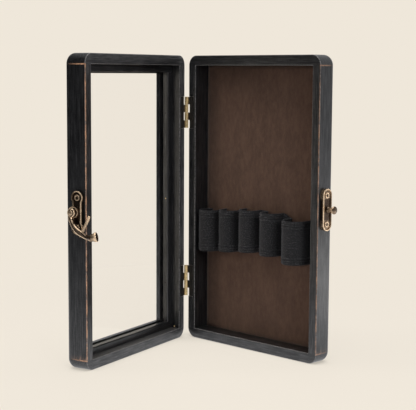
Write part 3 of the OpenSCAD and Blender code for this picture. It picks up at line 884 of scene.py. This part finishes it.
class PENCASE_OT_nail_tips(bpy.types.Operator):
    """Sets small nail tips in the inner wall of the lid's hinge side"""
    bl_idname = "pencase.nail_tips"
    bl_label = "Nail Tips"

    def execute(self, context):
        for name, (spots, metal, slot) in NAIL_TIPS.items():
            seats = [Matrix.Translation((STILE, depth, height)) @ Matrix.Rotation(pi / 2, 4, "Y")
                     for height, depth in spots]
            tips = join(*(turned(TIP_PROFILE, seat, 16) for seat in seats))
            place(tips, name, "lid", bpy.data.materials[metal], LID)
        return {"FINISHED"}


class PENCASE_OT_glass(bpy.types.Operator):
    """Clears the lid's glass pane"""
    bl_idname = "pencase.glass"
    bl_label = "Glass Pane"

    def execute(self, context):
        repaint("glass_pane", clear_glass())
        return {"FINISHED"}


class PENCASE_OT_plates(bpy.types.Operator):
    """Rounds the raised borders of the catch and hook plates and sets their screws"""
    bl_idname = "pencase.plates"
    bl_label = "Latch Plates and Screws"

    def execute(self, context):
        for half, part, middle, shine in (("tray", "catch", CATCH_Y, 0.9), ("lid", "hook", HOOK_Y, 0.5)):
            side = HALVES[half] @ LATCH_SIDE
            plate, screws = part + "_plate", part + "_screws"
            bm = merged(plate)
            ease(bm, side, PLATE_EASE * MM, lambda a, b: min(a.z, b.z) > 0.3, segments=3)
            finish = antique_bronze(plate + "_bronze", half, plate=True)
            weigh_normals(place(bm, plate + "_cast", half, finish, replaced=(plate,)))
            heads = join(*(turned(SCREW_PROFILE, Matrix.Translation((middle, up, 0)), 32)
                           for up in (-LOBE_STEP, LOBE_STEP)))
            place(heads, part + "_round_screws", half, antique_bronze(screws + "_bronze", half, shine=shine),
                  side, replaced=(screws,))
        return {"FINISHED"}


class PENCASE_OT_knob(bpy.types.Operator):
    """Turns the spool-shaped knob of the catch"""
    bl_idname = "pencase.knob"
    bl_label = "Catch Knob"

    def execute(self, context):
        knob = turned(KNOB_PROFILE, Matrix.Translation((KNOB_Y, 0, 0)))
        place(knob, "catch_spool_knob", "tray", antique_bronze("knob_bronze", "tray"),
              TRAY @ LATCH_SIDE, replaced=("catch_knob",))
        return {"FINISHED"}


def arm_section(along, angle):
    """The arm is fluted: two rubbed ridges with a dark hollow between them on the outward side."""
    turn = angle * 180 / pi
    hollow = exp(-((turn - 92) / 28) ** 2) * min(1, max(0, (0.8 - along) / 0.2))
    low_ridge = exp(-((turn - 142) / 20) ** 2)
    high_ridge = exp(-((turn - 44) / 18) ** 2) * min(1, max(0, (0.66 - along) / 0.12))
    eye_side = 0.8 * max(0, 1 - along / 0.2)
    return 1 - 0.3 * hollow, min(1, 0.1 + 1.2 * low_ridge + 0.5 * high_ridge + eye_side)


def spur_section(along, angle):
    """The spur is plainly round, and brighter towards its tip, with painted light that makes its upper side
    lighter.
    """
    # Painted light: the upper side is painted lighter than the lower.
    return 1, min(1, 0.6 + 0.6 * along) * (0.82 + 0.18 * cos(angle - 1))


class PENCASE_OT_hook(bpy.types.Operator):
    """Casts the fluted swing hook with its eye, spur and flared end, and its rivet"""
    bl_idname = "pencase.hook"
    bl_label = "Latch Hook and Rivet"

    def execute(self, context):
        aim = Vector(TRUMPET_AIM).to_track_quat("Z", "Y").to_matrix().to_4x4()
        cast = join(drawn(HOOK_ARM, arm_section, 32, 90), drawn(HOOK_SPUR, spur_section, 16, 40),
                    turned(EYE_PROFILE), turned(TRUMPET_PROFILE, Matrix.Translation(TRUMPET_AT) @ aim))
        finish = antique_bronze("hook_bronze", "lid")
        place(cast, "latch_hook_cast", "hook", finish, PIVOT, replaced=("latch_hook",),
              sharp=50)
        place(turned(RIVET_PROFILE, steps=32), "hook_domed_rivet", "lid", finish, PIVOT,
              replaced=("hook_rivet",))
        return {"FINISHED"}


# ---- studio ----

def light(name, spot, aim, size, energy, tint):
    lamp = bpy.data.lights.new(name, "AREA")
    lamp.shape = "RECTANGLE"
    lamp.size, lamp.size_y = size
    lamp.energy = energy
    lamp.color = tint
    holder = bpy.data.objects.new(name, lamp)
    holder.location = spot
    holder.rotation_euler = (Vector(aim) - Vector(spot)).to_track_quat("-Z", "Y").to_euler()
    holder.visible_glossy = name not in UNMIRRORED
    holder.visible_camera = holder.visible_transmission = False
    bpy.context.scene.collection.objects.link(holder)


def floor_material():
    """A pale floor that merges with the backdrop and takes a faint shadow, with a contact shadow painted from
    ambient occlusion and a painted glow near the case that only reflections see.
    """
    s = settings("studio")
    g = new_material("studio_floor")
    rays, here = g.rays(), g.here()
    far = g.add("VectorMath", {0: here}, "Value", operation="LENGTH")
    # Painted shadow: the floor's emission is darkened where ambient occlusion is close.
    painted_shadow_ao = g.add("AmbientOcclusion", {"Distance": 0.03}, "AO")
    lit = g.add("BsdfDiffuse", {"Color": s.backdrop})
    floor_with_painted_shadow = g.add("Emission", {"Color": s.backdrop, "Strength": g.ramp(painted_shadow_ao, 0.1, 0.8, 0.6, 1.0)})
    viewed = g.add("MixShader", {0: g.ramp(far, 0.14, 0.3, s.shadow, 0.0), 1: floor_with_painted_shadow, 2: lit})
    bounce = g.add("BsdfDiffuse", {"Color": s.bounce})
    # Painted glow: reflections see the floor glowing up to 1.2 times white near the case.
    beyond = g.distance(here, (0.25, 0.45, 0))
    painted_glow = g.add("Emission", {"Color": s.bounce, "Strength": g.ramp(beyond, 0.55, 1.15, 1.2, 0.04)})
    others = g.add("MixShader", {0: rays["Is Glossy Ray"], 1: bounce, 2: painted_glow})
    seen = g.larger(rays["Is Camera Ray"], rays["Is Transmission Ray"])
    g.surface(g.add("MixShader", {0: seen, 1: others, 2: viewed}))
    return g.owner


def studio_world():
    """The backdrop's colour for what looks at it, a dim room for the rest."""
    s = settings("studio")
    g = Graph(bpy.data.worlds.new("studio"))
    rays = g.rays()
    back = g.ramp(g.split(g.add("TexCoord", output="Generated"))[1], -0.1, 0.8, 0.04, 0.8)
    seen = g.larger(rays["Is Camera Ray"], rays["Is Transmission Ray"])
    room = g.mix(rays["Is Glossy Ray"], 0.3, back, "FLOAT")
    g.set(Color=g.mix(seen, s.bounce, s.backdrop), Strength=g.mix(seen, room, 1.0, "FLOAT"))
    return g.owner


class PENCASE_OT_stage(bpy.types.Operator):
    """Sets up the floor, the backdrop, the lights and the camera"""
    bl_idname = "pencase.stage"
    bl_label = "Studio"

    def execute(self, context):
        scene = context.scene
        scene.view_settings.view_transform = "Standard"
        scene.world = studio_world()
        bm = bmesh.new()
        bmesh.ops.create_circle(bm, cap_ends=True, radius=FLOOR_RADIUS, segments=64)
        mesh = bpy.data.meshes.new("studio_floor")
        bm.to_mesh(mesh)
        bm.free()
        mesh.materials.append(floor_material())
        floor = bpy.data.objects.new("studio_floor", mesh)
        scene.collection.objects.link(floor)
        for name, (spot, aim, size, setting, tint) in LAMPS.items():
            light(name, spot, aim, size, getattr(settings("studio"), setting), tint)
        lens = bpy.data.cameras.new("camera")
        lens.sensor_width = SENSOR_W
        lens.sensor_fit = "HORIZONTAL"
        lens.lens = FOCAL_LENGTH
        lens.clip_start = 0.01
        camera = bpy.data.objects.new("camera", lens)
        camera.matrix_world = (Matrix.Translation(CAMERA_AT) @ Matrix.Rotation(radians(CAMERA_TURN), 4, "Z")
                               @ Matrix.Rotation(radians(90 - CAMERA_TILT), 4, "X")
                               @ Matrix.Rotation(radians(CAMERA_ROLL), 4, "Z"))
        scene.collection.objects.link(camera)
        scene.camera = camera
        return {"FINISHED"}


# ---- panel and registration ----

STEPS = (PENCASE_OT_stage, PENCASE_OT_wood, PENCASE_OT_lining, PENCASE_OT_band, PENCASE_OT_hinges,
         PENCASE_OT_nail_tips, PENCASE_OT_glass, PENCASE_OT_plates, PENCASE_OT_knob, PENCASE_OT_hook)
GROUPS = {"pencase_wood": PENCASE_PG_wood, "pencase_cloth": PENCASE_PG_cloth,
          "pencase_metal": PENCASE_PG_metal, "pencase_studio": PENCASE_PG_studio}


class PENCASE_PT_panel(bpy.types.Panel):
    """Lists the steps and their settings"""
    bl_idname = "PENCASE_PT_panel"
    bl_label = "Pen Case"
    bl_space_type = "VIEW_3D"
    bl_region_type = "UI"
    bl_category = "Pen Case"

    def draw(self, context):
        for step in STEPS:
            self.layout.operator(step.bl_idname)
        for name in GROUPS:
            box = self.layout.box()
            group = getattr(context.scene, name)
            for key in group.__annotations__:
                box.prop(group, key)


def register():
    for group in GROUPS.values():
        bpy.utils.register_class(group)
    for step in STEPS:
        bpy.utils.register_class(step)
    bpy.utils.register_class(PENCASE_PT_panel)
    for name, group in GROUPS.items():
        setattr(bpy.types.Scene, name, PointerProperty(type=group))


def unregister():
    for name in GROUPS:
        delattr(bpy.types.Scene, name)
    bpy.utils.unregister_class(PENCASE_PT_panel)
    for group in reversed(STEPS + tuple(GROUPS.values())):
        bpy.utils.unregister_class(group)


def main():
    register()
    for step in STEPS:
        group, name = step.bl_idname.split(".")
        getattr(getattr(bpy.ops, group), name)()


if __name__ == "__main__":
    main()
